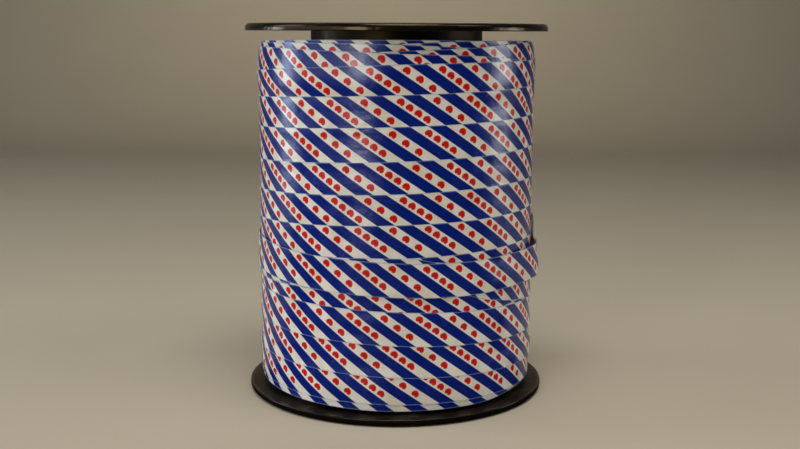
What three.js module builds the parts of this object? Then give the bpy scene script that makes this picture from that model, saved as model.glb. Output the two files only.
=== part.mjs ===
import * as THREE from 'three';
import { mergeVertices } from 'three/addons/utils/BufferGeometryUtils.js';

// Curling ribbon on its spool, standing on one flange.
// Millimetres, +Z up, origin at the centre of the lower flange's foot.
// Azimuths are degrees about the axis: 0 is the front (-Y) and 90 is the right side (+X).

// Spool
const spoolHeight = 117.6;
const flangeRadius = 48;
const flangeThickness = 2.3;
const outsideRound = 0.9;
const insideRound = 0.3;
const barrelRadius = 27;
const barrelWall = 2.2;
const collarWall = 1.6;
const collarHeight = 5;
const clearance = 0.3;

// Ribbon
const ribbonWidth = 10.3;
const sheetThickness = 1;
const lapHeight = 0.4;
const fadeHeight = 2;
const windingFoot = 3.4;
const windingHead = 112.9;

// Roundness
const roundSteps = 60;
const columnStep = 360 / roundSteps;
const cornerSteps = 3;

// The winding's radius at several heights. It is fullest in its middle and drawn in at its ends.
const crown = [
  { height: 3.4, radius: 43.6 },
  { height: 9, radius: 43.9 },
  { height: 20, radius: 44.1 },
  { height: 40, radius: 44.3 },
  { height: 57, radius: 44.2 },
  { height: 80, radius: 44.0 },
  { height: 96, radius: 44.1 },
  { height: 106, radius: 43.7 },
  { height: 110, radius: 43.1 },
  { height: 112.9, radius: 42.2 },
];

// The turns wound last climbed from the foot. Each lies on the one below it, so its lower edge shows.
// left, front and right are that edge's heights at azimuths -70, 0 and 70.
const climbingTurns = [
  { left: 6.3, front: 5.6, right: 5.3 },
  { left: 15.3, front: 14.0, right: 12.2 },
  { left: 25.0, front: 23.7, right: 21.5 },
];

// The upper edge of the third of them, which lies on the turns of the layer before.
const climbingHead = { left: 35.3, front: 34.0, right: 31.8 };

// After it the ribbon slants up to the left and goes under the loose turn.
const slantingTurn = [
  { azimuth: 6, foot: 40.5, head: 40.5 },
  { azimuth: 16, foot: 39.6, head: 44.2 },
  { azimuth: 28, foot: 38.0, head: 47.3 },
  { azimuth: 42, foot: 35.2, head: 45.5 },
  { azimuth: 55, foot: 33.5, head: 43.8 },
  { azimuth: 80, foot: 31.0, head: 41.3 },
  { azimuth: 110, foot: 30.0, head: 40.3 },
  { azimuth: 180, foot: 28.3, head: 38.6 },
];

// The turns of the layer before, which came down. Each lies on the one above it, so its upper edge shows.
const descendingTurns = [
  { left: 38.5, front: 40.4, right: 41.6 },
  { left: 48.9, front: 50.0, right: 51.6 },
  { left: 57.5, front: 59.8, right: 61.2 },
  { left: 66.6, front: 68.8, right: 70.3 },
  { left: 75.9, front: 78.3, right: 80.1 },
  { left: 86.1, front: 88.3, right: 89.8 },
  { left: 95.3, front: 97.3, right: 98.9 },
  { left: 103.5, front: 105.9, right: 106.7 },
];

// Upper edges of the three turns at the head, where the winding dwelt and turned back,
// from the outermost to the innermost. behindLeft and behindRight are their heights at -180 and 180.
const headTurns = [
  { behindLeft: 108.6, left: 110.4, front: 109.0, right: 106.5, behindRight: 104.8 },
  { behindLeft: 104.8, left: 107.6, front: 109.5, right: 112.0, behindRight: 114.5 },
  { behindLeft: 113.5, left: 112.0, front: 111.6, right: 109.0, behindRight: 106.0 },
];

// The loose turn, from where it starts on the right of the back, round the front and the left side,
// and back to the right, where its end lies under its start. around counts on below -180.
// stand is the distance from the winding's outermost laps to the ribbon's inner face.
const looseTurn = [
  { around: 126, foot: 38.6, footStand: 1.6, headStand: 1.6 },
  { around: 100, foot: 37.9, footStand: 1.8, headStand: 1.6 },
  { around: 84, foot: 38.1, footStand: 1.9, headStand: 1.6 },
  { around: 74, foot: 38.3, footStand: 1.7, headStand: 1.5 },
  { around: 58, foot: 38.3, footStand: 0.9, headStand: 0.8 },
  { around: 40, foot: 38.0, footStand: 0.4, headStand: 0.4 },
  { around: 0, foot: 38.4, footStand: 0.3, headStand: 0.3 },
  { around: -35, foot: 39.5, footStand: 0.3, headStand: 0.3 },
  { around: -70, foot: 40.9, footStand: 0.3, headStand: 0.3 },
  { around: -130, foot: 41.4, footStand: 0.3, headStand: 0.3 },
  { around: -200, foot: 40.4, footStand: 0.3, headStand: 0.3 },
  { around: -267, foot: 38.6, footStand: 0.3, headStand: 0.3 },
  { around: -281, foot: 38.6, footStand: 0.3, headStand: 0.3 },
];
const looseStart = 126;
const looseBedHeight = 45;

// The cut end, turned up behind the loose turn and standing above it. It is as wide as the ribbon.
const tailStart = -267.6;
const tailEnd = -280.4;
const tailHead = 57.6;
const tailShoulder = 0.2;

const moulded = new THREE.MeshStandardMaterial({ color: 0x171514, roughness: 0.38, metalness: 0 });
const printedFilm = new THREE.MeshStandardMaterial({ color: 0x8f93a8, roughness: 0.3, metalness: 0 });
const looseFilm = new THREE.MeshStandardMaterial({ color: 0xa7a9b6, roughness: 0.3, metalness: 0 });

// A smooth value through rows of a table, at a place along its first column.
function along(rows, place, column, at) {
  let next = 1;
  const downwards = rows[0][place] > rows[1][place];
  while (next < rows.length - 1 && (downwards ? at < rows[next][place] : at > rows[next][place])) {
    next += 1;
  }
  const a = rows[next - 1];
  const b = rows[next];
  const before = rows[Math.max(next - 2, 0)];
  const after = rows[Math.min(next + 1, rows.length - 1)];
  const span = b[place] - a[place];
  const slopeA = ((b[column] - before[column]) / (b[place] - before[place])) * span;
  const slopeB = ((after[column] - a[column]) / (after[place] - a[place])) * span;
  const t = THREE.MathUtils.clamp((at - a[place]) / span, 0, 1);
  const t2 = t * t;
  const t3 = t2 * t;
  return (2 * t3 - 3 * t2 + 1) * a[column] + (t3 - 2 * t2 + t) * slopeA
    + (3 * t2 - 2 * t3) * b[column] + (t3 - t2) * slopeB;
}

// A point at an azimuth, a radius and a height.
function placed(azimuth, radius, height) {
  const angle = THREE.MathUtils.degToRad(azimuth);
  return new THREE.Vector3(radius * Math.sin(angle), -radius * Math.cos(angle), height);
}

// A closed skin over sections that all have the same number of points. Points that meet are
// merged, and the triangles that this flattens are dropped. Open runs of sections get two ends.
function skin(sections, withEnds) {
  const count = sections[0].length;
  const positions = sections.flat().flatMap((point) => point.toArray());
  const faces = [];
  for (let i = 0; i < sections.length - 1; i += 1) {
    for (let j = 0; j < count; j += 1) {
      const k = (j + 1) % count;
      const a = i * count + j;
      const b = i * count + k;
      const c = (i + 1) * count + k;
      const d = (i + 1) * count + j;
      faces.push(a, c, b, a, d, c);
    }
  }
  if (withEnds) {
    const last = (sections.length - 1) * count;
    for (let j = 1; j < count - 1; j += 1) {
      faces.push(0, j, j + 1);
      faces.push(last, last + j + 1, last + j);
    }
  }
  const raw = new THREE.BufferGeometry();
  raw.setAttribute('position', new THREE.Float32BufferAttribute(positions, 3));
  raw.setIndex(faces);
  const merged = mergeVertices(raw, 1e-3);
  const index = merged.index.array;
  const kept = [];
  for (let i = 0; i < index.length; i += 3) {
    const [a, b, c] = [index[i], index[i + 1], index[i + 2]];
    if (a !== b && b !== c && c !== a) kept.push(a, b, c);
  }
  merged.setIndex(kept);
  merged.computeVertexNormals();
  return merged;
}

function named(name, geometry, material) {
  const mesh = new THREE.Mesh(geometry, material);
  mesh.name = name;
  return mesh;
}

// One flange with the collar that locates the barrel, its foot at height 0.
// The large round is on the face away from the ribbon.
function flangeGeometry() {
  const collarRadius = barrelRadius - barrelWall - clearance;
  const boreRadius = collarRadius - collarWall;
  const outline = [new THREE.Vector2(boreRadius, 0)];
  for (let i = 0; i <= cornerSteps; i += 1) {
    const turn = (i / cornerSteps) * (Math.PI / 2);
    outline.push(new THREE.Vector2(
      flangeRadius - outsideRound + outsideRound * Math.sin(turn),
      outsideRound - outsideRound * Math.cos(turn),
    ));
  }
  outline.push(new THREE.Vector2(flangeRadius, flangeThickness - insideRound));
  outline.push(new THREE.Vector2(flangeRadius - insideRound, flangeThickness));
  outline.push(new THREE.Vector2(collarRadius, flangeThickness));
  outline.push(new THREE.Vector2(collarRadius, flangeThickness + collarHeight));
  outline.push(new THREE.Vector2(boreRadius, flangeThickness + collarHeight));
  outline.push(outline[0].clone());
  return new THREE.LatheGeometry(outline, roundSteps).rotateX(Math.PI / 2);
}

// The barrel is a plain tube between the two flanges, around their collars.
function barrelGeometry() {
  const foot = flangeThickness + clearance;
  const head = spoolHeight - flangeThickness - clearance;
  const outline = [
    new THREE.Vector2(barrelRadius - barrelWall, foot),
    new THREE.Vector2(barrelRadius, foot),
    new THREE.Vector2(barrelRadius, head),
    new THREE.Vector2(barrelRadius - barrelWall, head),
  ];
  outline.push(outline[0].clone());
  return new THREE.LatheGeometry(outline, roundSteps).rotateX(Math.PI / 2);
}

// The heights of one visible edge at the five azimuths of its table row. Behind, it runs on into
// the next turn of the same layer.
function edgeRows(turn, behindLeft, behindRight) {
  return [
    { azimuth: -180, height: behindLeft },
    { azimuth: -70, height: turn.left },
    { azimuth: 0, height: turn.front },
    { azimuth: 70, height: turn.right },
    { azimuth: 180, height: behindRight },
  ];
}

const underFoot = 3;
const slantingStart = slantingTurn.at(-1);
const climbingEdges = climbingTurns.map((turn, k) => {
  const later = climbingTurns[k + 1];
  const earlier = climbingTurns[k - 1];
  const behindLeft = later ? (turn.left + later.right) / 2 : slantingStart.foot;
  const behindRight = earlier ? (turn.right + earlier.left) / 2 : underFoot;
  return edgeRows(turn, behindLeft, behindRight);
});
const climbingHeadEdge = edgeRows(climbingHead, slantingStart.head, slantingStart.foot);
const descendingEdges = descendingTurns.map((turn, k) => {
  const later = descendingTurns[k - 1];
  const earlier = descendingTurns[k + 1];
  const behindLeft = later ? (turn.left + later.right) / 2 : turn.left - ribbonWidth / 2;
  const behindRight = earlier ? (turn.right + earlier.left) / 2 : headTurns[0].behindLeft;
  return edgeRows(turn, behindLeft, behindRight);
});
const headEdges = headTurns.map((turn) => edgeRows(turn, turn.behindLeft, turn.behindRight));

// The bands of ribbon that show at one azimuth, from the foot to the head. An edge that would run
// under a turn that lies over it is held at that turn's edge, where it runs out. The signs say how
// a band leans: 1 where its edge stands proud over its neighbour, -1 where its neighbour lies over it.
function bandsAt(azimuth) {
  const heightOf = (rows) => along(rows, 'azimuth', 'height', azimuth);
  const bands = [];
  let reached = windingFoot;
  const add = (height, lowSign, highSign) => {
    const high = Math.min(Math.max(height, reached), windingHead);
    bands.push({ low: reached, high, lowSign, highSign });
    reached = high;
  };

  const slants = azimuth > slantingTurn[0].azimuth;
  const lastHead = heightOf(descendingEdges[0]);
  const slantFoot = slants ? along(slantingTurn, 'azimuth', 'foot', azimuth) : lastHead;
  const slantHead = slants ? along(slantingTurn, 'azimuth', 'head', azimuth) : lastHead;
  const climbHead = slants ? Math.min(heightOf(climbingHeadEdge), slantFoot) : heightOf(climbingHeadEdge);
  const covers = Math.min(1, (slantHead - slantFoot) / fadeHeight);
  const meets = Math.max(0, 1 - (slantFoot - climbHead) / fadeHeight);

  for (const rows of climbingEdges) add(heightOf(rows), 1, -1);
  add(climbHead, 1, 1 - 2 * covers * meets);
  add(slantFoot, -1, 1 - 2 * covers);
  add(slantHead, 1, 1);
  for (const rows of [...descendingEdges, ...headEdges]) add(heightOf(rows), -1, 1);
  add(windingHead, -1, 0);
  return bands;
}

// One section of the winding, bore included. A low band leans less, down to nothing where it runs out.
function windingSection(azimuth) {
  const radiusAt = (height) => along(crown, 'height', 'radius', height);
  const bore = barrelRadius + clearance;
  const section = [placed(azimuth, bore, windingFoot), placed(azimuth, radiusAt(windingFoot), windingFoot)];
  for (const { low, high, lowSign, highSign } of bandsAt(azimuth)) {
    const lean = (lapHeight / 2) * Math.min(1, (high - low) / fadeHeight);
    section.push(placed(azimuth, radiusAt(low) + lean * lowSign, low));
    section.push(placed(azimuth, radiusAt(high) + lean * highSign, high));
    section.push(placed(azimuth, radiusAt(high), high));
  }
  section.push(placed(azimuth, bore, windingHead));
  return section;
}

function windingGeometry() {
  const sections = [];
  for (let i = 0; i <= roundSteps; i += 1) {
    sections.push(windingSection(-180 + i * columnStep));
  }
  return skin(sections, false);
}

// One section of the loose turn: a thin upright strip, a little off the winding.
function looseSection(around, head) {
  const at = (column) => along(looseTurn, 'around', column, around);
  const bed = along(crown, 'height', 'radius', looseBedHeight) + lapHeight / 2;
  const foot = at('foot');
  const headHeight = head ?? foot + ribbonWidth;
  const footRadius = bed + at('footStand');
  const headRadius = bed + at('headStand');
  return [
    placed(around, footRadius, foot),
    placed(around, footRadius + sheetThickness, foot),
    placed(around, headRadius + sheetThickness, headHeight),
    placed(around, headRadius, headHeight),
  ];
}

// The loose turn and its cut end, which is the last stretch, as tall as the end stands.
function looseTurnGeometry() {
  const sections = [];
  for (let around = looseStart; around > tailStart; around -= columnStep) {
    sections.push(looseSection(around));
  }
  sections.push(looseSection(tailStart));
  sections.push(looseSection(tailStart - tailShoulder, tailHead));
  sections.push(looseSection((tailStart + tailEnd) / 2, tailHead));
  sections.push(looseSection(tailEnd, tailHead));
  return skin(sections.reverse(), true);
}

const curlingRibbon = new THREE.Group();
curlingRibbon.name = 'curling_ribbon';

const lowerFlange = named('spool_flange_lower', flangeGeometry(), moulded);
curlingRibbon.add(lowerFlange);

const upperFlange = named('spool_flange_upper', flangeGeometry(), moulded);
upperFlange.rotation.x = Math.PI;
upperFlange.position.z = spoolHeight;
curlingRibbon.add(upperFlange);

curlingRibbon.add(named('spool_barrel', barrelGeometry(), moulded));
curlingRibbon.add(named('ribbon_winding', windingGeometry(), printedFilm));
curlingRibbon.add(named('ribbon_loose_turn', looseTurnGeometry(), looseFilm));

export default curlingRibbon;
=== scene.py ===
import math

import bmesh
import bpy
import numpy as np
from mathutils import Matrix, Vector, noise


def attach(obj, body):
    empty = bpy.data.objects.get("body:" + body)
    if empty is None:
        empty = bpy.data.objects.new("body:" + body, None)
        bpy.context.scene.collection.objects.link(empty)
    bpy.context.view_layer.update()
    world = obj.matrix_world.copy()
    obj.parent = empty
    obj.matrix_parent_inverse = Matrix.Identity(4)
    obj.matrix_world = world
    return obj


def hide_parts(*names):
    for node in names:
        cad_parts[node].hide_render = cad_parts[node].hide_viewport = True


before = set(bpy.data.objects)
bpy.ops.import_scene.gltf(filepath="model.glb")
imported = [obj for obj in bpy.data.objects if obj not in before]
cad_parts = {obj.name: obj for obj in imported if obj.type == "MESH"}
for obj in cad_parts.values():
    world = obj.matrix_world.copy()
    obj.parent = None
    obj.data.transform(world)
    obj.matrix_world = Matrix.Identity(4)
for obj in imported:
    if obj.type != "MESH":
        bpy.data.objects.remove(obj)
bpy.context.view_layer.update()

# Camera
# A little left-hand of the spool's middle, level with the underside of the upper end, and looking down.
mm = 0.001
camera_place = Vector((1.34, -370.8, 115.3)) * mm
camera_dip = math.radians(9.582)
camera_roll = math.radians(0.226)
sensor_width = 36
focal_pixels = 1146.0
image_width = 800

lens = bpy.data.cameras.new("camera")
lens.sensor_width = sensor_width
lens.lens = sensor_width * focal_pixels / image_width
lens.clip_start = 0.01
camera = bpy.data.objects.new("camera", lens)
aim = Matrix.Rotation(math.pi / 2 - camera_dip, 4, "X") @ Matrix.Rotation(camera_roll, 4, "Z")
camera.matrix_world = Matrix.Translation(camera_place) @ aim
bpy.context.collection.objects.link(camera)
bpy.context.scene.camera = camera


# Spool ends and core tube
# Injection-moulded black high-impact polystyrene, pressed together and never polished: the faces
# carry a dull grain from the mould, the rims a little more gloss, and handling has left dust and rubs.
end_radius = 48.0
end_thickness = 2.3
tube_radius = 27.3
tube_wall = 2.5
fit_gap = 0.3
collar_radius = tube_radius - tube_wall - fit_gap
bore_radius = 22.9
collar_height = 5.0
outside_round = 1.4
inside_round = 0.3
mouth_round = 0.4
spool_height = 117.6
turning_steps = 160
bevel_steps = 5
on_ring = 0.01


def linear(hex_colour):
    """An sRGB hex colour as the linear colour that Blender's sockets take."""
    channels = [int(hex_colour[k:k + 2], 16) / 255 for k in (1, 3, 5)]
    return [c / 12.92 if c <= 0.04045 else ((c + 0.055) / 1.055) ** 2.4 for c in channels] + [1.0]


def add(tree, kind, inputs=None, out=0, **settings):
    """Adds a shader node with its settings, fills its sockets with values or links, gives one output."""
    new = tree.nodes.new("ShaderNode" + kind)
    for field, value in settings.items():
        setattr(new, field, value)
    for socket, value in (inputs or {}).items():
        if isinstance(value, bpy.types.NodeSocket):
            tree.links.new(value, new.inputs[socket])
        else:
            new.inputs[socket].default_value = value
    return new.outputs[out]


def new_material(name):
    """An empty node material and its tree."""
    material = bpy.data.materials.new(name)
    material.use_nodes = True
    material.node_tree.nodes.clear()
    return material, material.node_tree


def turned(name, outline, rounds):
    """A piece turned about the axis from corners of (radius, height), with some corners rounded."""
    bm = bmesh.new()
    corners = [bm.verts.new((radius * mm, 0, height * mm)) for radius, height in outline]
    edges = [bm.edges.new((corners[k - 1], corners[k])) for k in range(len(corners))]
    bmesh.ops.spin(bm, geom=corners + edges, cent=(0, 0, 0), axis=(0, 0, 1), angle=math.tau,
                   steps=turning_steps, use_merge=True)
    bmesh.ops.remove_doubles(bm, verts=bm.verts, dist=0.001 * mm)
    for corner, size in rounds.items():
        radius, height = outline[corner]
        ring = [edge for edge in bm.edges
                if all(abs(v.co.z - height * mm) < on_ring * mm
                       and abs(v.co.xy.length - radius * mm) < on_ring * mm for v in edge.verts)]
        bmesh.ops.bevel(bm, geom=ring, offset=size * mm, offset_type="OFFSET", segments=bevel_steps,
                        profile=0.5, affect="EDGES", material=-1)
    bmesh.ops.recalc_face_normals(bm, faces=bm.faces)
    for face in bm.faces:
        face.smooth = True
    mesh = bpy.data.meshes.new(name)
    bm.to_mesh(mesh)
    bm.free()
    piece = bpy.data.objects.new(name, mesh)
    bpy.context.collection.objects.link(piece)
    normals = piece.modifiers.new("weighted", "WEIGHTED_NORMAL")
    normals.keep_sharp = True
    return piece


def moulded_styrene():
    """High-impact polystyrene, a brownish black: dull with a fine grain from the mould, its rims glossier.

    Dust and pale rubs lie on what faces up.
    """
    material, tree = new_material("moulded black polystyrene")
    place = add(tree, "TexCoord", out="Object")
    # The mould's own grain is finer than 0.1 mm, and is drawn at 0.7 mm so that it shows.
    grain = add(tree, "TexNoise", {"Vector": place, "Scale": 1 / (0.7 * mm), "Detail": 4.0})
    flow = add(tree, "TexNoise", {"Vector": place, "Scale": 1 / (11 * mm), "Detail": 3.0})
    fine = add(tree, "TexNoise", {"Vector": place, "Scale": 1 / (0.55 * mm), "Detail": 2.0})
    scuff = add(tree, "MapRange", {0: flow, 1: 0.50, 2: 0.72, 3: 0.0, 4: 1.0})
    speck = add(tree, "MapRange", {0: fine, 1: 0.50, 2: 0.66, 3: 0.0, 4: 1.0})
    dust = add(tree, "Math", {0: speck, 1: scuff}, operation="MULTIPLY")
    facing = add(tree, "NewGeometry", out="Normal")
    upward = add(tree, "SeparateXYZ", {0: facing}, out="Z")
    upward = add(tree, "MapRange", {0: upward, 1: 0.5, 2: 0.95, 3: 0.0, 4: 0.8})
    dust = add(tree, "Math", {0: dust, 1: upward}, operation="MULTIPLY")
    body = add(tree, "Mix", {"Factor": flow, 6: linear("#090706"), 7: linear("#130f0b")},
               out=2, data_type="RGBA")
    colour = add(tree, "Mix", {"Factor": dust, 6: body, 7: linear("#5e574d")}, out=2, data_type="RGBA")
    # The rims are a little glossier than the faces.
    level = add(tree, "VectorMath", {0: place, 1: (1, 1, 0)}, operation="MULTIPLY")
    radius = add(tree, "VectorMath", {0: level}, out="Value", operation="LENGTH")
    rim = add(tree, "MapRange", {0: radius, 1: (end_radius - 1.2) * mm, 2: (end_radius - 0.4) * mm,
                                 3: 0.0, 4: -0.24})
    rough = add(tree, "MapRange", {0: flow, 1: 0.3, 2: 0.7, 3: 0.40, 4: 0.54})
    rough = add(tree, "Math", {0: rough, 1: rim}, operation="ADD")
    rough = add(tree, "Math", {0: rough, 1: dust}, operation="ADD", use_clamp=True)
    # Sink marks, as the moulding cooled, wave the faces a little.
    sink = add(tree, "TexNoise", {"Vector": place, "Scale": 1 / (3.5 * mm), "Detail": 2.0})
    relief = add(tree, "Math", {0: sink, 1: 9.0, 2: grain}, operation="MULTIPLY_ADD")
    bump = add(tree, "Bump", {"Height": relief, "Distance": 0.03 * mm, "Strength": 0.6})
    shader = add(tree, "BsdfPrincipled",
                 {"Base Color": colour, "Roughness": rough, "IOR": 1.59, "Normal": bump,
                  "Specular IOR Level": 0.27, "Specular Tint": linear("#ffd49c")})
    tree.links.new(shader, tree.nodes.new("ShaderNodeOutputMaterial").inputs["Surface"])
    return material


styrene = moulded_styrene()
end_outline = [
    (bore_radius, 0),
    (end_radius, 0),
    (end_radius, end_thickness),
    (collar_radius, end_thickness),
    (collar_radius, end_thickness + collar_height),
    (bore_radius, end_thickness + collar_height),
]
end_rounds = {0: mouth_round, 1: outside_round, 2: inside_round}
for name, node, flipped in (
    ("lower_end", "spool_flange_lower", False),
    ("upper_end", "spool_flange_upper", True),
):
    piece = turned(name, end_outline, end_rounds)
    if flipped:
        piece.data.transform(Matrix.Translation((0, 0, spool_height * mm)) @ Matrix.Rotation(math.pi, 4, "X"))
    piece.data.materials.append(styrene)
    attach(piece, "root")
    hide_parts(node)

tube_foot = end_thickness
tube_head = spool_height - tube_foot
tube = turned("core_tube", [
    (tube_radius - tube_wall, tube_foot),
    (tube_radius, tube_foot),
    (tube_radius, tube_head),
    (tube_radius - tube_wall, tube_head),
], {})
tube.data.materials.append(styrene)
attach(tube, "root")
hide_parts("spool_barrel")


# Wound ribbon
# One long strip of biaxially drawn polypropylene film, slit 10 mm wide, printed and varnished on one
# face, and traverse-wound: turn over turn down the spool, and then up again over the lower third.
# The film is stiff: it bridges steps, arches across its width, and its slit edges stand up.
ribbon_width = 10.3
film = 0.12
film_bridging = 0.05
film_arch = 0.05
edge_lift = 0.05
edge_reach = 0.45
winding_foot = 3.4
winding_head = 112.9
turn_length = math.tau * 44.0
around_steps = 144
height_step = 0.25
across = (0, 0.2, 0.5, 1.0, 2.0, 3.6, 5.15, 6.7, 8.3, 9.3, 9.8, 10.1, 10.3)

# The roll's radius at several heights: fullest in its middle and drawn in at its ends.
crown = (
    # height, radius
    (2.0, 43.4),
    (9.0, 43.8),
    (20.0, 44.0),
    (40.0, 44.1),
    (57.0, 44.1),
    (80.0, 43.95),
    (96.0, 43.9),
    (106.0, 43.5),
    (110.0, 42.9),
    (114.0, 41.9),
)

# Each turn, from the innermost to the outermost, as it was wound: the heights of its lower edge at five
# stations, then where the print falls. A four-heart stripe crosses the ribbon's middle "stripe" mm to
# the right of the front, and the print lies "rise" mm higher across the ribbon than it should.
stations = (-70, -35, 0, 35, 70)
turns = (
    # name, heights at the stations, stripe, rise
    ("dwell_1", (102.0, 102.4, 102.5, 102.3, 101.9), 5.7, 0.0),
    ("dwell_2", (99.9, 100.5, 101.35, 102.25, 102.2), 10.5, -0.1),
    ("dwell_3", (101.5, 101.55, 101.2, 100.1, 98.9), 16.05, -0.3),
    ("dwell_4", (97.2, 98.1, 99.35, 100.45, 101.8), 3.8, 0.0),
    ("dwell_5", (100.2, 99.6, 98.7, 97.9, 96.2), 10.1, 0.15),
    ("down_1", (93.2, 94.5, 95.6, 96.15, 96.4), 17.2, 0.05),
    ("down_2", (85.0, 86.1, 87.0, 87.8, 88.6), 5.25, -0.2),
    ("down_3", (75.8, 76.95, 77.95, 78.75, 79.5), 13.3, -0.4),
    ("down_4", (65.6, 66.9, 68.0, 68.9, 69.8), 20.1, -0.3),
    ("down_5", (56.3, 57.5, 58.55, 59.5, 60.0), 6.15, -0.1),
    ("down_6", (47.2, 48.45, 49.5, 50.2, 50.9), 13.5, 0.2),
    ("down_7", (38.6, 39.2, 39.7, 40.5, 41.3), 0.3, 0.0),
    ("down_8", (28.2, 29.3, 30.1, 30.8, 31.3), 8.3, -0.35),
    ("down_9", (19.2, 20.2, 21.2, 22.0, 22.8), 16.0, 0.0),
    ("down_10", (10.0, 11.0, 12.0, 13.0, 13.8), 3.4, 0.0),
    ("down_11", (4.2, 4.3, 4.8, 5.4, 6.0), 11.4, 0.0),
    ("up_1", (4.5, 3.85, 3.5, 3.5, 5.3), 4.3, 0.0),
    ("up_2", (6.3, 5.8, 5.6, 5.4, 5.3), 12.8, 0.2),
    ("up_3", (15.3, 14.9, 14.0, 13.2, 12.2), 1.1, 0.45),
    ("up_4", (25.0, 24.5, 23.7, 22.6, 21.5), 11.0, -0.3),
)

# The last turn on the roll slants up, and the loose turn follows it round the outside: lower edges
# at their own azimuths, in the order of winding. Of the loose turn, how far its two edges stand off
# the roll is given as well.
slanting_turn = (
    # azimuth, height
    (110, 30.0),
    (80, 31.0),
    (65, 32.4),
    (47, 34.5),
    (35, 36.4),
    (29, 37.75),
    (22, 37.9),
    (15, 38.4),
    (10, 39.3),
    (4, 39.75),
    (-5, 39.75),
    (-15, 39.6),
    (-26, 39.25),
    (-46, 39.4),
    (-64, 38.9),
    (-90, 39.6),
    (-150, 40.0),
)
slanting_print = (1.2, -1.05)
loose_turn = (
    # azimuth, height, lower edge's stand-off, upper edge's stand-off
    (150, 39.4, 0.0, 0.0),
    (126, 38.6, 0.9, 0.8),
    (100, 37.9, 2.1, 1.6),
    (83, 38.1, 2.3, 1.8),
    (76, 38.2, 2.1, 1.75),
    (70, 38.35, 1.5, 1.45),
    (60, 38.3, 0.7, 0.75),
    (50, 38.2, 0.3, 0.35),
    (30, 37.9, 0.1, 0.1),
    (0, 38.4, 0.05, 0.05),
    (-20, 39.0, 0.05, 0.05),
    (-35, 39.5, 0.05, 0.05),
    (-50, 40.1, 0.15, 0.05),
    (-70, 40.9, 0.25, 0.1),
    (-130, 41.4, 0.1, 0.1),
    (-200, 40.4, 0.1, 0.1),
    (-240, 39.4, 0.1, 0.1),
    (-267, 38.6, 0.1, 0.1),
    (-285, 38.4, 0.1, 0.1),
)
loose_print = (13.3, 0.0)
tail_azimuth = -267.5
tail_stripe = 9.1

# The white stripes' distance along the ribbon, and how far to each side of the front, in degrees, the
# print is laid out true to size. On some turns the film was pulled more or less than on the others, and
# so much more print lies over the same angle.
stripe_pitch = 10.33
heart_repeat = 2 * stripe_pitch
print_reach = 75
print_spread = {"down_2": 0.985, "down_3": 0.988, "up_3": 1.015, "up_2": 1.015, "loose": 1.028}


def turn_count(turn, azimuth):
    """The place along the winding, in turns, where a turn passes an azimuth."""
    return turn + (180 - azimuth) / 360


def smooth_line(rows):
    """A smooth function through rows of (place, value), level where the line turns back."""
    places = np.array([row[0] for row in rows])
    values = np.array([row[1] for row in rows])
    slopes = np.gradient(values, places)
    slopes[1:-1][np.diff(values)[1:] * np.diff(values)[:-1] <= 0] = 0

    def value_at(place):
        k = int(np.clip(np.searchsorted(places, place) - 1, 0, len(places) - 2))
        span = places[k + 1] - places[k]
        t = min(max((place - places[k]) / span, 0.0), 1.0)
        return ((2 * t**3 - 3 * t**2 + 1) * values[k] + (t**3 - 2 * t**2 + t) * span * slopes[k]
                + (3 * t**2 - 2 * t**3) * values[k + 1] + (t**3 - t**2) * span * slopes[k + 1])
    return value_at


# The lower edge along the whole winding. The first two turns keep to one height behind the spool, so
# that they stay on the roll.
head_back = 101.6
slanting = len(turns)
loose = slanting + 1
route = []
for turn, (name, heights, stripe, rise) in enumerate(turns):
    if turn < 2:
        route.append((turn, head_back))
    route += [(turn_count(turn, azimuth), height)
              for azimuth, height in sorted(zip(stations, heights), reverse=True)]
route += [(turn_count(slanting, azimuth), height) for azimuth, height in slanting_turn]
route += [(turn_count(loose, row[0]), row[1]) for row in loose_turn]
lower_edge = smooth_line(route)
stand_low = smooth_line([(turn_count(loose, row[0]), row[2]) for row in loose_turn])
stand_high = smooth_line([(turn_count(loose, row[0]), row[3]) for row in loose_turn])

# The print's own measure along the ribbon. The small differences between turns are spread over the
# back, and the hearts keep their order from turn to turn.
prints = [(name, stripe, rise) for name, heights, stripe, rise in turns]
prints += [("slanting", *slanting_print), ("loose", *loose_print)]
print_rows = []
rise_rows = []
passed = 0.0
for turn, (name, stripe, rise) in enumerate(prints):
    middle = lower_edge(turn + 0.5) + ribbon_width / 2
    radius = float(np.interp(middle, *zip(*crown)))
    expected = passed - math.tau * radius if turn else -stripe
    front = -stripe - heart_repeat * round((-stripe - expected) / heart_repeat)
    reach = math.radians(print_reach) * radius * print_spread.get(name, 1)
    print_rows += [(turn_count(turn, print_reach), front + reach),
                   (turn_count(turn, -print_reach), front - reach)]
    rise_rows.append((turn + 0.5, rise))
    passed = front
first_print = print_rows[0][1] + math.radians(180 - print_reach) * radius
tail_print = print_rows[-1][1] - math.radians(-tail_azimuth - print_reach) * radius
tail_print = tail_stripe + stripe_pitch * round((tail_print - tail_stripe) / stripe_pitch)
print_rows = [(0.0, first_print)] + print_rows + [(turn_count(loose, tail_azimuth), tail_print)]


def print_along(place):
    """Millimetres along the print, to the right, at a place along the winding."""
    return float(np.interp(place, *zip(*print_rows)))


def print_rise(place):
    """How far the print has wandered up across the ribbon at a place along the winding."""
    return float(np.interp(place, *zip(*rise_rows)))


# The roll's surface as it grows: a radius for every azimuth step and height. Each turn lies on what
# is there, bridges the steps that it crosses, and adds its own thickness.
surface_margin = 1.5
surface_heights = np.arange(winding_foot - surface_margin, winding_head + surface_margin, height_step)
layers_under = 2.2
edge_slack = 0.01
swell_depth = 0.05
swell_waves = 2.2
swell_height = 7
surface = np.tile(np.interp(surface_heights, *zip(*crown)) - layers_under * film, (around_steps, 1))


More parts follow.
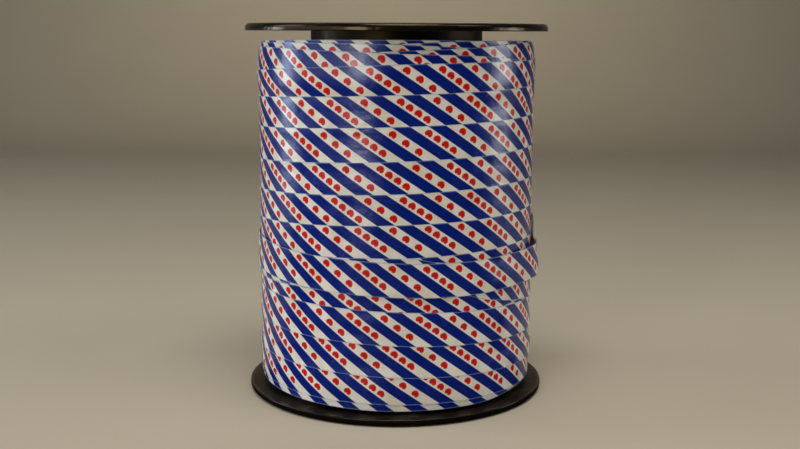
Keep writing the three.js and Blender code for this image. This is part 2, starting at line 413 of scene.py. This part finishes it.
def unevenness(azimuth, height):
    """A slow swell of the film, in millimetres, which breaks up its reflections."""
    turn = math.radians(azimuth)
    return swell_depth * noise.noise(Vector((math.sin(turn) * swell_waves, math.cos(turn) * swell_waves,
                                             height / swell_height)))


def lifted(over):
    """How far the film arches, and its slit edges stand up, off what they lie on."""
    from_edge = min(over, ribbon_width - over)
    arched = film_arch * (1 - (2 * over / ribbon_width - 1) ** 2)
    return arched + edge_lift * math.exp(-(from_edge / edge_reach) ** 2)


def lay_section(place):
    """Lays the ribbon across the roll at one place and gives (height, outer radius) across it."""
    step = round((place % 1) * around_steps) % around_steps
    azimuth = 180 - (place % 1) * 360
    foot = lower_edge(place)
    column = surface[step]
    near = ((surface_heights >= foot - edge_slack)
            & (surface_heights <= foot + ribbon_width + edge_slack))
    heights_near = surface_heights[near]
    column_near = column[near]
    section = []
    for over in across:
        height = foot + over
        bed = float(np.max(column_near - film_bridging * (heights_near - height) ** 2))
        section.append((height, bed + film + lifted(over) + unevenness(azimuth, height)))
    laid = np.interp(heights_near, [row[0] for row in section], [row[1] for row in section])
    column[near] = np.maximum(column_near, laid)
    return section


def strip_mesh(sections, places):
    """A ribbon skin through sections of (azimuth, [(height, radius)]).

    The UV map "print" runs with the print, and "strip" with the ribbon itself, both in millimetres.
    """
    bm = bmesh.new()
    bmesh.ops.create_grid(bm, x_segments=len(sections) - 1, y_segments=len(across) - 1, size=1.0)
    print_map = bm.loops.layers.uv.new("print")
    strip_map = bm.loops.layers.uv.new("strip")
    spots = {}
    for vert in bm.verts:
        along = round((vert.co.x + 1) / 2 * (len(sections) - 1))
        over = round((vert.co.y + 1) / 2 * (len(across) - 1))
        azimuth, section = sections[along]
        height, radius = section[over]
        turn = math.radians(azimuth)
        vert.co = Vector((radius * math.sin(turn), -radius * math.cos(turn), height)) * mm
        place = places[along]
        spots[vert] = ((print_along(place), across[over] - print_rise(place)),
                       (place * turn_length, across[over]))
    for face in bm.faces:
        face.smooth = True
        for loop in face.loops:
            loop[print_map].uv, loop[strip_map].uv = spots[loop.vert]
    bmesh.ops.reverse_faces(bm, faces=bm.faces)
    return bm


def finished(name, bm):
    """The mesh as a linked object, its open edges kept sharp."""
    for edge in bm.edges:
        edge.smooth = not edge.is_boundary
    mesh = bpy.data.meshes.new(name)
    bm.to_mesh(mesh)
    bm.free()
    piece = bpy.data.objects.new(name, mesh)
    bpy.context.collection.objects.link(piece)
    return piece


# The strip on the roll ends under the start of the loose turn, which carries on from it.
roll_end_azimuth = 140
roll_end = turn_count(loose, roll_end_azimuth)
places = [k / around_steps for k in range(math.floor(roll_end * around_steps) + 1)]
sections = [(180 - (place % 1) * 360, lay_section(place)) for place in places]
wound = finished("wound_turns", strip_mesh(sections, places))


def film_print(tree):
    """The print as two masks: slanting white stripes on the blue, and rows of red hearts on the white."""
    # Sizes in millimetres. The hearts' own are in the stripe's axes: along the stripe and across it.
    slope = math.atan(1.43)
    stripe_step = stripe_pitch * math.cos(slope)
    row_step = stripe_pitch * math.sin(slope)
    white_width = 5.08
    white_half = white_width / 2 * math.cos(slope)
    print_middle = 6.0
    gap_four = 3.05
    gap_three = 4.55
    row_half = 6.0
    shoulder = -0.3
    lobe_radius, lobe_place = 0.67, (0.52, shoulder, 0)
    arc_radius, arc_place = 1.33, (-0.14, shoulder, 0)
    blur = 0.07

    # Into the stripes' own axes, and to the middle of the nearest stripe.
    print_uv = add(tree, "UVMap", uv_map="print")
    centred = add(tree, "VectorMath", {0: print_uv, 1: (0, print_middle, 0)}, operation="SUBTRACT")
    turned_uv = add(tree, "VectorRotate", {"Vector": centred, "Angle": -slope}, rotation_type="Z_AXIS")
    split = add(tree, "SeparateXYZ", {0: turned_uv}).node
    number = add(tree, "Math", {0: split.outputs["X"], 1: stripe_step}, operation="DIVIDE")
    number = add(tree, "Math", {0: number}, operation="ROUND")
    across_stripe = add(tree, "Math", {0: number, 1: -stripe_step, 2: split.outputs["X"]},
                        operation="MULTIPLY_ADD")
    along_stripe = add(tree, "Math", {0: number, 1: row_step, 2: split.outputs["Y"]},
                       operation="MULTIPLY_ADD")

    from_middle = add(tree, "Math", {0: across_stripe}, operation="ABSOLUTE")
    white = add(tree, "MapRange", {0: from_middle, 1: white_half - blur, 2: white_half + blur,
                                   3: 1.0, 4: 0.0})

    # Stripes with four hearts take turns with stripes with three, which stand farther apart.
    three = add(tree, "Math", {0: number, 1: 2.0}, operation="FLOORED_MODULO")
    half_gap = add(tree, "Math", {0: three, 1: (gap_three - gap_four) / 2, 2: gap_four / 2},
                   operation="MULTIPLY_ADD")
    shift = add(tree, "Math", {0: three, 1: -gap_four / 2, 2: gap_four / 2}, operation="MULTIPLY_ADD")
    shifted = add(tree, "Math", {0: along_stripe, 1: shift}, operation="ADD")
    side = add(tree, "Math", {0: shifted, 1: half_gap}, operation="PINGPONG")
    # A heart is drawn as on a playing card: a round for each lobe and, above their middles, two arcs
    # that meet in the tip.
    spot = add(tree, "CombineXYZ", {0: side, 1: across_stripe})
    lobe = add(tree, "VectorMath", {0: spot, 1: lobe_place}, out="Value", operation="DISTANCE")
    lobe = add(tree, "Math", {0: lobe, 1: lobe_radius}, operation="DIVIDE")
    arc = add(tree, "VectorMath", {0: spot, 1: arc_place}, out="Value", operation="DISTANCE")
    arc = add(tree, "Math", {0: arc, 1: arc_radius}, operation="DIVIDE")
    below = add(tree, "Math", {0: across_stripe, 1: shoulder}, operation="DIVIDE")
    arc = add(tree, "Math", {0: arc, 1: below}, operation="MAXIMUM")
    heart = add(tree, "Math", {0: lobe, 1: arc}, operation="MINIMUM")
    red = add(tree, "MapRange", {0: heart, 1: 1 - blur, 2: 1 + blur, 3: 1.0, 4: 0.0})
    reach = add(tree, "Math", {0: along_stripe}, operation="ABSOLUTE")
    inside = add(tree, "Math", {0: reach, 1: row_half}, operation="LESS_THAN")
    red = add(tree, "Math", {0: red, 1: inside}, operation="MULTIPLY")
    return white, red


def printed_film():
    """Polypropylene ribbon film: opaque white, gravure-printed in blue and red, under a clear varnish.

    The varnish gives one soft gloss over all three colours. The drawn film beneath is faintly streaky,
    handling has left cloudy rubs, and a pale grey-blue is painted along the slit edges: painted shade
    in the step where one turn laps over the next on the white, and a painted light line on the blue.
    """
    material, tree = new_material("printed polypropylene ribbon film")
    white, red = film_print(tree)
    place = add(tree, "TexCoord", out="Object")
    strip_uv = add(tree, "UVMap", uv_map="strip")
    mottle = add(tree, "TexNoise", {"Vector": place, "Scale": 1 / (5 * mm), "Detail": 5.0})
    stain = add(tree, "MapRange", {0: mottle, 1: 0.30, 2: 0.58, 3: 0.0, 4: 1.0})
    base = add(tree, "Mix", {"Factor": stain, 6: linear("#d8cfb5"), 7: linear("#e5dfd2")},
               out=2, data_type="RGBA")
    blue = add(tree, "Mix", {"Factor": mottle, 6: linear("#041c6e"), 7: linear("#07227a")},
               out=2, data_type="RGBA")
    heart = add(tree, "Mix", {"Factor": mottle, 6: linear("#c6160c"), 7: linear("#cf1a10")},
                out=2, data_type="RGBA")
    colour = add(tree, "Mix", {"Factor": white, 6: blue, 7: base}, out=2, data_type="RGBA")
    colour = add(tree, "Mix", {"Factor": red, 6: colour, 7: heart}, out=2, data_type="RGBA")

    # Painted lap lines: a pale grey-blue along the slit edges, which darkens the white as painted shade in
    # the step where one turn laps over the next, and lightens the blue as a painted light line.
    over = add(tree, "SeparateXYZ", {0: strip_uv}, out="Y")
    from_edge = add(tree, "Math", {0: over, 1: ribbon_width / 2}, operation="PINGPONG")
    edge = add(tree, "MapRange", {0: from_edge, 1: 0.05, 2: 0.38, 3: 0.48, 4: 0.0})
    colour = add(tree, "Mix", {"Factor": edge, 6: colour, 7: linear("#93a0b8")}, out=2, data_type="RGBA")

    # Streaks along the film, slow clouds and the varnish's grit. The real grit is finer than 0.1 mm, and
    # is drawn at 0.45 mm so that it shows.
    drawn = add(tree, "Mapping", {"Vector": strip_uv, "Scale": (0.12, 2.2, 1.0)})
    streak = add(tree, "TexNoise", {"Vector": drawn, "Scale": 1.0, "Detail": 2.0})
    cloud = add(tree, "TexNoise", {"Vector": place, "Scale": 1 / (5 * mm), "Detail": 2.0})
    grit = add(tree, "TexNoise", {"Vector": place, "Scale": 1 / (0.45 * mm), "Detail": 1.0})
    rough = add(tree, "MapRange", {0: mottle, 1: 0.35, 2: 0.65, 3: 0.17, 4: 0.29})
    waves = add(tree, "Math", {0: streak, 1: 0.03, 2: cloud}, operation="MULTIPLY_ADD")
    waves = add(tree, "Math", {0: grit, 1: 0.19, 2: waves}, operation="MULTIPLY_ADD")
    bump = add(tree, "Bump", {"Height": waves, "Distance": 0.17 * mm, "Strength": 1.0})
    shader = add(tree, "BsdfPrincipled",
                 {"Base Color": colour, "Roughness": rough, "IOR": 1.49, "Specular IOR Level": 0.4,
                  "Normal": bump})
    tree.links.new(shader, tree.nodes.new("ShaderNodeOutputMaterial").inputs["Surface"])
    return material


def plain_film(name, colour, roughness):
    """Unprinted polypropylene film, as its cut edges and its reverse show it: milky, with a dull gloss."""
    material, tree = new_material(name)
    place = add(tree, "TexCoord", out="Object")
    mottle = add(tree, "TexNoise", {"Vector": place, "Scale": 1 / (2 * mm), "Detail": 2.0})
    darker = 0.88
    shade = [channel * darker for channel in linear(colour)[:3]] + [1.0]
    tint = add(tree, "Mix", {"Factor": mottle, 6: shade, 7: linear(colour)}, out=2, data_type="RGBA")
    shader = add(tree, "BsdfPrincipled", {"Base Color": tint, "Roughness": roughness, "IOR": 1.49})
    tree.links.new(shader, tree.nodes.new("ShaderNodeOutputMaterial").inputs["Surface"])
    return material


face_film = printed_film()
cut_film = plain_film("slit edge of polypropylene film", "#a4abb8", 0.5)
back_film = plain_film("reverse of polypropylene film", "#cfc9bb", 0.45)
stack_film = plain_film("stacked edges of printed polypropylene film", "#8289a0", 0.6)


def thickened(piece):
    """Gives a ribbon skin its film thickness, inward, with the reverse and the slit edges of their own."""
    for material in (face_film, back_film, cut_film):
        piece.data.materials.append(material)
    wall = piece.modifiers.new("film", "SOLIDIFY")
    wall.thickness = film * mm
    wall.offset = -1
    wall.material_offset = 1
    wall.material_offset_rim = 2
    wall.use_even_offset = False


thickened(wound)
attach(wound, "root")
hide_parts("ribbon_winding")

# The roll under the outer turns: hundreds of turns of the same film, seen only as edges at its ends.
bore = tube_radius + fit_gap
body_foot, body_head = winding_foot + 0.4, winding_head - 0.9
body_depth = (layers_under + 0.4) * film
body_rows = [(bore, body_foot)]
body_rows += [(radius - body_depth, max(min(height, body_head), body_foot))
              for height, radius in crown]
body_rows += [(bore, body_head)]
roll_body = turned("roll_body", body_rows, {})
roll_body.data.materials.append(stack_film)
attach(roll_body, "root")


# Loose turn
# The outermost turn has slackened: it lies against the roll at the left and the front, stands off it
# at the right, and its end is folded up, corner over corner, behind its own start.
loose_gap = 0.06
buckle_depth = 0.22
buckle_azimuth = -62
buckle_spread = 16
buckle_wave = 4.5
buckle_seed = 3.7
tail_length = 18.1
tail_far_radius = 44.30
tail_near_radius = 44.62
corner_spring = 1.1
corner_reach = 0.8
fold_gap = 0.1
fold_opening = 1.5
weld = 0.0005
tail_steps = across + (10.8, 11.4, 12.4, 13.8, 15.2, 16.7, tail_length)


def buckled(azimuth, share):
    """How the slack film stands in small waves along its lower edge at the left of the front."""
    near = math.exp(-((azimuth - buckle_azimuth) / buckle_spread) ** 2) * (1 - share) ** 2
    return buckle_depth * near * noise.noise(Vector((azimuth / buckle_wave, buckle_seed, share)))


def loose_section(place):
    """The loose turn's section at one place: its azimuth, counted on, and (height, outer radius)."""
    azimuth = 180 - (place - loose) * 360
    foot = lower_edge(place)
    column = surface[round((place % 1) * around_steps) % around_steps]
    near = ((surface_heights >= foot - edge_slack)
            & (surface_heights <= foot + ribbon_width + edge_slack))
    section = []
    for over in across:
        height = foot + over
        share = over / ribbon_width
        bed = float(np.max(column[near] - film_bridging * (surface_heights[near] - height) ** 2))
        stand = stand_low(place) * (1 - share) + stand_high(place) * share
        radius = bed + film + loose_gap + stand + lifted(over) + buckled(azimuth, share)
        section.append((height, radius + unevenness(azimuth, height)))
    return azimuth, section


loose_first = round(turn_count(loose, loose_turn[0][0]) * around_steps)
loose_last = round(turn_count(loose, tail_azimuth) * around_steps)
loose_places = [k / around_steps for k in range(loose_first, loose_last + 1)]
loose_sections = [loose_section(place) for place in loose_places]
bm = strip_mesh(loose_sections, loose_places)

# The end goes on flat from the last section. What lies past the diagonal is folded over it and up, so
# a point x along and v across comes to v along and x up, and its reverse faces outwards.
fold_azimuth, fold_section = loose_sections[-1]
fold_foot = fold_section[0][0]
print_map = bm.loops.layers.uv["print"]
strip_map = bm.loops.layers.uv["strip"]
last_print = print_along(loose_places[-1])
tail_spots = {}
tail = {}
for i, x in enumerate(tail_steps):
    for k, v in enumerate(across):
        along, up = (x, v) if x <= v else (v, x)
        fold_radius = float(np.interp(up, across, [row[1] for row in fold_section]))
        spring = corner_spring * math.exp(-((up - ribbon_width) / corner_reach) ** 2)
        near_radius = tail_near_radius + spring
        over_radius = tail_far_radius + (near_radius - tail_far_radius) * along / ribbon_width
        opened = min(1.0, (up - along) / fold_opening) if x > v else 0.0
        share = along / ribbon_width
        radius = fold_radius + (over_radius - fold_radius) * share + opened * (film + fold_gap)
        turn = math.radians(fold_azimuth) - along / tail_far_radius
        spot = Vector((radius * math.sin(turn), -radius * math.cos(turn), fold_foot + up)) * mm
        tail[i, k] = bm.verts.new(spot)
        tail_spots[tail[i, k]] = ((last_print - x, v - print_rise(loose_places[-1])),
                                  (loose_places[-1] * turn_length + x, v))
for i in range(len(tail_steps) - 1):
    for k in range(len(across) - 1):
        corners = [tail[i, k], tail[i, k + 1], tail[i + 1, k + 1], tail[i + 1, k]]
        for corner_list in [corners] if i != k else [corners[:3], corners[::2] + corners[3:]]:
            face = bm.faces.new(corner_list)
            face.smooth = True
            for loop in face.loops:
                loop[print_map].uv, loop[strip_map].uv = tail_spots[loop.vert]
bmesh.ops.remove_doubles(bm, verts=bm.verts, dist=weld * mm)
loose_piece = finished("loose_turn", bm)
thickened(loose_piece)
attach(loose_piece, "root")
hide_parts("ribbon_loose_turn")


# Studio
# A sweep of matt pale paper, with soft lights at both sides, the strongest as wide as a window wall at
# the front left, one over the floor, one on the paper behind, and a fill for the back. The front sheet
# of the paper is kept out of the film's gloss, as a dark card lying before the spool would do.
sweep_half_width = 2.5
sweep_front = -1.2
sweep_back = 0.75
sweep_curve = 0.35
sweep_height = 2.0
bend_steps = 12
paper, tree = new_material("matt background paper")
place = add(tree, "TexCoord", out="Object")
fibre = add(tree, "TexNoise", {"Vector": place, "Scale": 1 / (60 * mm), "Detail": 5.0})
tint = add(tree, "Mix", {"Factor": fibre, 6: linear("#b9ac95"), 7: linear("#beb19a")},
           out=2, data_type="RGBA")
shader = add(tree, "BsdfPrincipled", {"Base Color": tint, "Roughness": 0.85, "IOR": 1.45})
tree.links.new(shader, tree.nodes.new("ShaderNodeOutputMaterial").inputs["Surface"])


def paper_sheet(name, profile):
    """A sheet of the paper, swept sideways from its side view."""
    bm = bmesh.new()
    left = [bm.verts.new((-sweep_half_width, y, z)) for y, z in profile]
    left_edges = [bm.edges.new((left[k], left[k + 1])) for k in range(len(left) - 1)]
    swept = bmesh.ops.extrude_edge_only(bm, edges=left_edges)
    bmesh.ops.translate(bm, verts=[v for v in swept["geom"] if isinstance(v, bmesh.types.BMVert)],
                        vec=(2 * sweep_half_width, 0, 0))
    for face in bm.faces:
        face.smooth = True
    sheet = finished(name, bm)
    sheet.data.materials.append(paper)
    return sheet


bend = [(sweep_back + sweep_curve * math.sin(angle), sweep_curve * (1 - math.cos(angle)))
        for angle in (k / bend_steps * math.pi / 2 for k in range(bend_steps + 1))]
paper_sheet("backdrop", [(0, 0)] + bend + [(sweep_back + sweep_curve, sweep_height)])
front_paper = paper_sheet("front_paper", [(sweep_front, 0), (0, 0)])
front_paper.visible_glossy = False

lights = (
    # name, place, aimed at, width, height, spread, watts, colour
    ("left_low", (-0.79, 0.09, 0.13), (0, 0, 0.06), 0.22, 0.26, 180, 1.5, "#e2efff"),
    ("left_high", (-0.79, 0.02, 0.55), (0, 0, 0.07), 0.40, 0.40, 180, 1.45, "#f0f7ff"),
    ("left_wall", (-0.97, -0.87, 0.35), (0, 0, 0.07), 1.60, 0.70, 180, 4.6, "#f5fbff"),
    ("front_left", (-0.52, -0.94, 0.20), (0, 0, 0.08), 0.26, 0.38, 180, 2.2, "#f8fcff"),
    ("right_low", (0.80, 0.02, 0.13), (0, 0, 0.06), 0.26, 0.26, 180, 1.4, "#f4faff"),
    ("right_top", (0.70, -0.30, 0.95), (0, 0, 0.05), 0.40, 0.40, 180, 1.5, "#ffffff"),
    ("floor_light", (0.05, -0.30, 0.95), (0.05, -0.10, 0), 0.5, 0.5, 70, 0.9, "#ffffff"),
    ("wall_light", (-0.02, 0.85, 0.75), (-0.02, 1.08, 0.30), 0.5, 0.1, 80, 0.34, "#fff4dd"),
    ("rear_fill", (0.0, 0.65, 1.1), (0, 0, 0.05), 0.6, 0.4, 180, 1.05, "#ffffff"),
)
for name, spot, target, width, height, spread, watts, tint in lights:
    lamp = bpy.data.lights.new(name, "AREA")
    lamp.shape = "RECTANGLE"
    lamp.size = width
    lamp.size_y = height
    lamp.energy = watts
    lamp.spread = math.radians(spread)
    lamp.color = linear(tint)[:3]
    holder = bpy.data.objects.new(name, lamp)
    towards = Vector(target) - Vector(spot)
    holder.matrix_world = Matrix.Translation(spot) @ towards.to_track_quat("-Z", "Y").to_matrix().to_4x4()
    holder.visible_camera = False
    bpy.context.collection.objects.link(holder)

world = bpy.data.worlds.new("room")
world.use_nodes = True
world.node_tree.nodes["Background"].inputs["Color"].default_value = linear("#fff8e8")
world.node_tree.nodes["Background"].inputs["Strength"].default_value = 0.01
bpy.context.scene.world = world
bpy.context.scene.view_settings.view_transform = "Standard"
